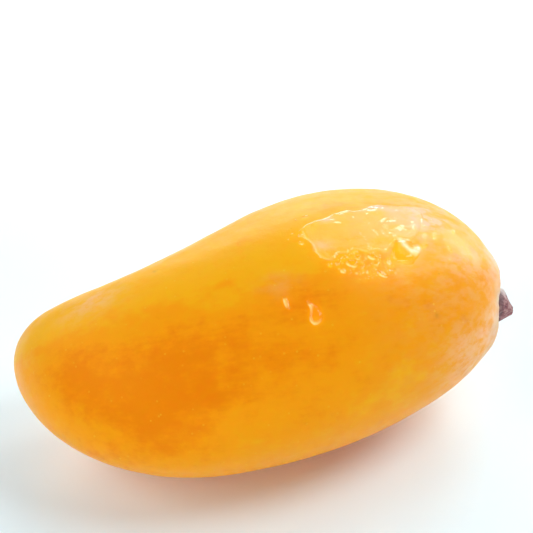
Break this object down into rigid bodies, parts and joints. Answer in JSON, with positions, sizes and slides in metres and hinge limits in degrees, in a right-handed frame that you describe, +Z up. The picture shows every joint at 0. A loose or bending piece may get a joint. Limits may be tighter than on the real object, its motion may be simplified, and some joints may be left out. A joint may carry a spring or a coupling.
{
  "type": "mango",
  "caption": "Ripe yellow mango lying on its cheek: long, kidney-shaped, with a rounded beak end and a short dry stub of stalk, resting on a small flat spot.",
  "frame": {"origin": "on the resting plane, under the middle of the object's bounding box", "axes": "+X from the beak end to the stem end along the fruit's length, +Y towards the belly with the shallow hollow beside the beak, +Z up as the fruit lies"},
  "size_m": [0.133, 0.0766, 0.0612],
  "materials": {
    "skin": "smooth waxy fruit skin, golden yellow to orange, satin to glossy where wet",
    "stalk": "dry, dull, purple-brown broken stalk",
    "water": "clear water drops and film, on the fruit's top only in the visual model"
  },
  "bodies": {
    "root": {"fruit": "skin", "stem_stub": "stalk"}
  },
  "joints": []
}
